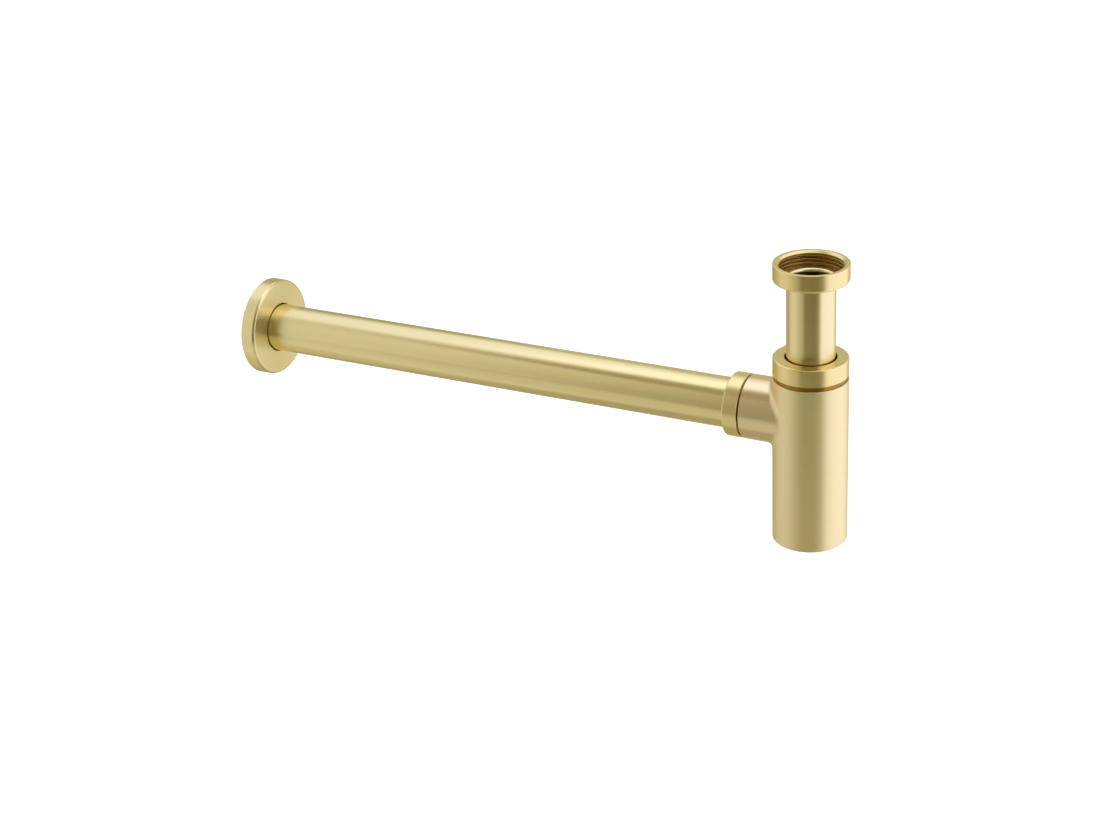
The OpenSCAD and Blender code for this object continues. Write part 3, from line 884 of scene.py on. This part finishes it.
class TRAP_OT_branch_blend(Operator):
    """Cover the root of the branch with a smooth blend"""

    bl_idname = "trap.branch_blend"
    bl_label = "Branch Blend"

    def execute(self, context):
        sizes = context.scene.trap_blend
        bm = bmesh.new()
        verts = [bm.verts.new(point) for point in blend_section(0.0, sizes.radius, sizes.rows)]
        edges = [bm.edges.new((verts[i - 1], verts[i])) for i in range(len(verts))]
        for step in range(1, sizes.steps + 1):
            made = bmesh.ops.extrude_edge_only(bm, edges=edges)["geom"]
            new_verts = {v for v in made if isinstance(v, bmesh.types.BMVert)}
            verts = [next(e.other_vert(v) for e in v.link_edges if e.other_vert(v) in new_verts)
                     for v in verts]
            edges = [e for e in made if isinstance(e, bmesh.types.BMEdge)
                     and e.verts[0] in new_verts and e.verts[1] in new_verts]
            angle = 2 * math.pi * step / sizes.steps
            for vert, point in zip(verts, blend_section(angle, sizes.radius, sizes.rows)):
                vert.co = point
        bmesh.ops.remove_doubles(bm, verts=bm.verts, dist=WELD)
        piece = piece_from(bm, "branch_blend", bpy.data.materials["Cast Brass Body"])
        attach(piece, "trap")
        return {"FINISHED"}


def under_corner(angle, grow):
    """Point on the crossing of the bottle and the branch, each grown by the same amount"""
    side, rise = (BRANCH_R + grow) * math.cos(angle), (BRANCH_R + grow) * math.sin(angle)
    return Vector((-math.sqrt((BODY_R + grow) ** 2 - side ** 2), side, rise))


def blend_section(angle, least, rows, growth=1.4, sink=0.0006):
    """Points of one section: an arc from the bottle to the branch, then inside both by sink

    The corner is flatter at the sides of the branch, so the ball grows there by the power
    growth, and the arc stays about as wide all the way round.
    """
    corner = under_corner(angle, 0.0)
    from_bottle = Vector((corner.x, corner.y, 0.0))
    from_branch = Vector((0.0, corner.y, corner.z))
    ball = least * (math.pi / 2 / from_bottle.angle(from_branch)) ** growth
    centre = under_corner(angle, ball)

    def in_bottle(depth):
        share = (BODY_R - depth) / math.hypot(centre.x, centre.y)
        return Vector((centre.x * share, centre.y * share, centre.z))

    def in_branch(depth):
        share = (BRANCH_R - depth) / math.hypot(centre.y, centre.z)
        return Vector((centre.x, centre.y * share, centre.z * share))

    start, end = in_bottle(0.0) - centre, in_branch(0.0) - centre
    turn = start.angle(end)
    points = []
    for row in range(rows + 1):
        share = row / rows
        arc = math.sin((1 - share) * turn) * start + math.sin(share * turn) * end
        points.append(centre + arc / math.sin(turn))
    points += [in_branch(sink), under_corner(angle, -sink), in_bottle(sink)]
    return [point + Vector((0, 0, OUTLET_Z)) for point in points]


class TRAP_OT_stage(Operator):
    """Set up the floor, the light tent, the lamp and the camera"""

    bl_idname = "trap.stage"
    bl_label = "Stage"

    def execute(self, context):
        scene = context.scene
        sizes = scene.trap_stage
        make_floor(sizes)
        make_tent(sizes, scene.trap_camera)
        make_world()
        make_lamp("Roof Lamp", place=(-0.15, 0.1, 0.75), target=(-0.18, 0.0, -0.1),
                  width=0.9, depth=0.6, power=0.5)
        make_camera(scene)
        scene.view_settings.view_transform = "Standard"
        return {"FINISHED"}


def seen_directly(nodes):
    """Light Path mask of the camera, of mirrors and of glass"""
    path = nodes.add("ShaderNodeLightPath")
    both = nodes.math("MAXIMUM", path.outputs["Is Camera Ray"], path.outputs["Is Glossy Ray"])
    return nodes.math("MAXIMUM", both, path.outputs["Is Transmission Ray"])


def make_floor(sizes):
    """Plain pale floor, white where the camera sees it lit"""
    darker, paler, speckle_scale, lift_to_white = (0.86,) * 3, (0.90,) * 3, 40.0, 0.75
    bm = bmesh.new()
    bmesh.ops.create_circle(bm, cap_ends=True, segments=96, radius=7.0,
                            matrix=Matrix.Translation((-0.18, 0, -sizes.floor_drop)))
    material, nodes = bare_material("Pale Floor")
    speckle = nodes.noise(nodes.add("ShaderNodeTexCoord").outputs["Object"], speckle_scale)
    matt = nodes.add("ShaderNodeBsdfDiffuse", nodes.mix(speckle, rgba(darker), rgba(paler)))
    glow = nodes.add("ShaderNodeEmission", (1, 1, 1, 1),
                     nodes.math("MULTIPLY", seen_directly(nodes), lift_to_white))
    both = nodes.add("ShaderNodeAddShader", matt.outputs[0], glow.outputs[0])
    nodes.add("ShaderNodeOutputMaterial", both.outputs[0])
    piece_from(bm, "floor", material)


def make_tent(sizes, camera):
    """Light tent of plain panels round the object, which the camera looks through"""
    bm = bmesh.new()
    bmesh.ops.create_uvsphere(bm, u_segments=64, v_segments=32, radius=sizes.tent_radius,
                              matrix=Matrix.Translation(camera.target))
    bmesh.ops.reverse_faces(bm, faces=bm.faces)
    for face in bm.faces:
        face.smooth = True
    mesh = bpy.data.meshes.new("light_tent")
    bm.to_mesh(mesh)
    bm.free()
    tent = bpy.data.objects.new("light_tent", mesh)
    bpy.context.scene.collection.objects.link(tent)
    tent.visible_camera = False
    tent.visible_diffuse = False
    tent.visible_shadow = False
    mesh.materials.append(tent_material(sizes, camera))


def tent_material(sizes, camera):
    """Emission of the tent: panels by turn from the camera, roof and ground by height"""
    material, nodes = bare_material("Tent Panels")
    place = nodes.vector("SUBTRACT", nodes.add("ShaderNodeTexCoord").outputs["Object"],
                         tuple(camera.target))
    outward = nodes.vector("NORMALIZE", place)
    mapping = nodes.add("ShaderNodeMapping", vector_type="TEXTURE")
    nodes.feed(mapping.inputs["Vector"], outward)
    mapping.inputs["Rotation"].default_value = (0, 0, camera.azimuth)
    parts = nodes.split(mapping.outputs["Vector"])
    forward = nodes.math("MULTIPLY", parts["Y"], -1.0)
    turn = nodes.math("MULTIPLY", nodes.math("ARCTAN2", parts["X"], forward),
                      math.degrees(1))
    lift = nodes.math("MULTIPLY", nodes.math("ARCSINE", parts["Z"]), math.degrees(1))
    colour = rgba(sizes.side_panel)
    # Each panel: its light, its turns from the camera and its lifts in degrees, the softness
    # of its edges and its share over what lies under it
    for light, turns, lifts, soft, share in (
        (sizes.skirt_panel, (-135, -90), (-120, -32), 5, 1.0),
        (sizes.dark_panel, (-43.5, 38.5), ALL_LIFTS, 7, 1.0),
        (sizes.low_panel, (-43, 38), (-120, -25), 4, 1.0),
        (sizes.camera_panel, (-41, 25), (-20, -6), 5, 1.0),
        (sizes.brow_panel, (-39, 29), (10, 54), 5, 1.0),
        (sizes.shade_panel, (-60, -36), (0, 52), 5, 0.45),
        (sizes.belly_panel, (-68, -36), (-19, -6), 4, 0.5),
        (sizes.bright_panel, (42, 117), ALL_LIFTS, 7, 1.0),
        (sizes.warm_panel, (42, 95), (-120, -21), 5, 1.0),
        (sizes.far_panel, (117, 150), ALL_LIFTS, 5, 1.0),
        (sizes.door_panel, (150, 200), ALL_LIFTS, 6, 1.0),
        (sizes.back_panel, (-200, -132), ALL_LIFTS, 8, 1.0),
        (sizes.tan_panel, (-52, -36), (-14, 12), 4, 1.0),
        (sizes.corner_panel, (-72, -30), (-56, -16), 5, 1.0),
        (sizes.eave_panel, (-86, -38), (50, 100), 5, 1.0),
        (sizes.upper_panel, (-32, 40), (56, 80), 4, 1.0),
    ):
        panel = nodes.math("MULTIPLY", nodes.between(turn, *turns, soft),
                           nodes.between(lift, *lifts, soft))
        colour = nodes.mix(nodes.math("MULTIPLY", panel, share), colour, rgba(light))
    roof_heart, outer, inner = Vector((-0.40, 0.31, 0.86)).normalized(), 30, 26
    roof = nodes.ramp(nodes.vector("DOT_PRODUCT", outward, roof_heart[:]),
                      math.cos(math.radians(outer)), math.cos(math.radians(inner)))
    colour = nodes.mix(roof, colour, rgba(sizes.roof_panel))
    ground_low, ground_high = -66, -52
    ground = nodes.ramp(lift, ground_low, ground_high, 1.0, 0.0)
    colour = nodes.mix(ground, colour, rgba(sizes.ground))
    glow = nodes.add("ShaderNodeEmission", colour, 1.0)
    nodes.add("ShaderNodeOutputMaterial", glow.outputs[0])
    return material


def make_world():
    """Pale surroundings behind the stage, white where they are seen directly"""
    plain = 0.6
    world = bpy.data.worlds.new("White Room")
    bpy.context.scene.world = world
    world.use_nodes = True
    world.node_tree.nodes.clear()
    nodes = Nodes(world.node_tree)
    level = nodes.math("MULTIPLY_ADD", seen_directly(nodes), 1 - plain, plain)
    glow = nodes.add("ShaderNodeBackground", (1, 1, 1, 1), level)
    nodes.add("ShaderNodeOutputWorld", glow.outputs[0])


def make_lamp(name, place, target, width, depth, power):
    """Soft area lamp that faces a point"""
    light = bpy.data.lights.new(name, "AREA")
    light.shape = "RECTANGLE"
    light.size, light.size_y = width, depth
    light.energy = power
    lamp = bpy.data.objects.new(name, light)
    lamp.location = place
    lamp.rotation_euler = (Vector(target) - Vector(place)).to_track_quat("-Z", "Y").to_euler()
    bpy.context.scene.collection.objects.link(lamp)


def make_camera(scene):
    """Camera at the photograph's viewing angle"""
    given = scene.trap_camera
    az, el, roll = given.azimuth, given.elevation, given.roll
    ahead = Vector((-math.sin(az) * math.cos(el), math.cos(az) * math.cos(el), -math.sin(el)))
    right = Vector((math.cos(az), math.sin(az), 0))
    up = right.cross(ahead)
    turned_right = right * math.cos(roll) + up * math.sin(roll)
    turned_up = up * math.cos(roll) - right * math.sin(roll)
    lens = bpy.data.cameras.new("Photo Camera")
    lens.lens = given.lens
    lens.sensor_width = 36.0
    lens.sensor_fit = "HORIZONTAL"
    lens.clip_start, lens.clip_end = 0.01, 50.0
    camera = bpy.data.objects.new("Photo Camera", lens)
    turn = Matrix((turned_right, turned_up, -ahead)).transposed().to_4x4()
    camera.matrix_world = Matrix.Translation(Vector(given.target) - ahead * given.distance) @ turn
    scene.collection.objects.link(camera)
    scene.camera = camera


# Sidebar panel and registration


class TRAP_PT_panel(Panel):
    """Basin trap pieces and their sizes"""

    bl_label = "Basin Trap"
    bl_idname = "TRAP_PT_panel"
    bl_space_type = "VIEW_3D"
    bl_region_type = "UI"
    bl_category = "Basin Trap"

    def draw(self, context):
        scene = context.scene
        for title, group, operator in (
            ("Finishes", scene.trap_finish, "trap.finishes"),
            ("Union Nut", scene.trap_thread, "trap.union_nut"),
            ("Branch Blend", scene.trap_blend, "trap.branch_blend"),
            ("Stage", scene.trap_stage, "trap.stage"),
            ("Camera", scene.trap_camera, None),
        ):
            box = self.layout.box()
            box.label(text=title)
            for name in group.__annotations__:
                box.prop(group, name)
            if operator:
                box.operator(operator)


CLASSES = (TrapFinish, TrapThread, TrapBlend, TrapStage, TrapCamera, TRAP_OT_finishes,
           TRAP_OT_union_nut, TRAP_OT_branch_blend, TRAP_OT_stage, TRAP_PT_panel)
GROUPS = {"trap_finish": TrapFinish, "trap_thread": TrapThread, "trap_blend": TrapBlend,
          "trap_stage": TrapStage, "trap_camera": TrapCamera}


def register():
    for cls in CLASSES:
        bpy.utils.register_class(cls)
    for name, group in GROUPS.items():
        setattr(bpy.types.Scene, name, PointerProperty(type=group))


def unregister():
    for name in GROUPS:
        delattr(bpy.types.Scene, name)
    for cls in reversed(CLASSES):
        bpy.utils.unregister_class(cls)


def main():
    register()
    bpy.ops.trap.finishes()
    bpy.ops.trap.union_nut()
    bpy.ops.trap.branch_blend()
    bpy.ops.trap.stage()


if __name__ == "__main__":
    main()
